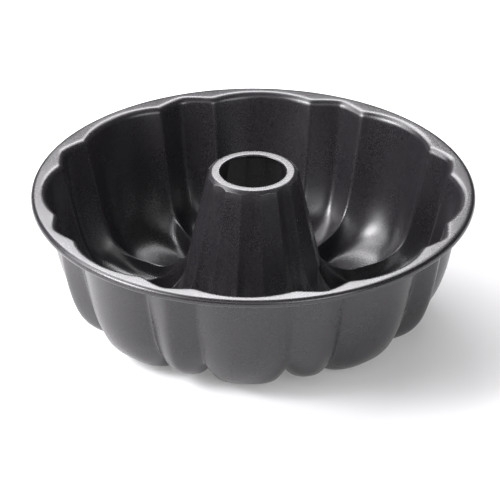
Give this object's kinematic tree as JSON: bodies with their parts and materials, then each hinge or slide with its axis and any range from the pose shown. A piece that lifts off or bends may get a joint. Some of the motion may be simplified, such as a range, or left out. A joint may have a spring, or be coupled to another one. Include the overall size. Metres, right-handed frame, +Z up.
{
  "type": "fluted ring cake pan",
  "caption": "Fluted ring cake pan: one deep-drawn steel sheet with an open central tube and a rim rolled round a steel wire.",
  "frame": {"origin": "centre of the circle that the pan stands on, at the height of the surface under it", "axes": "+Z up along the tube's axis, +X through the middle of a wide flute"},
  "size_m": [0.2688, 0.2688, 0.0988],
  "materials": {
    "nonstick_coating": "satin dark grey non-stick coating with a fine grain",
    "rim_wire_steel": "drawn steel wire"
  },
  "bodies": {
    "root": {"pan_shell": "nonstick_coating", "rim_wire": "rim_wire_steel"}
  },
  "joints": []
}
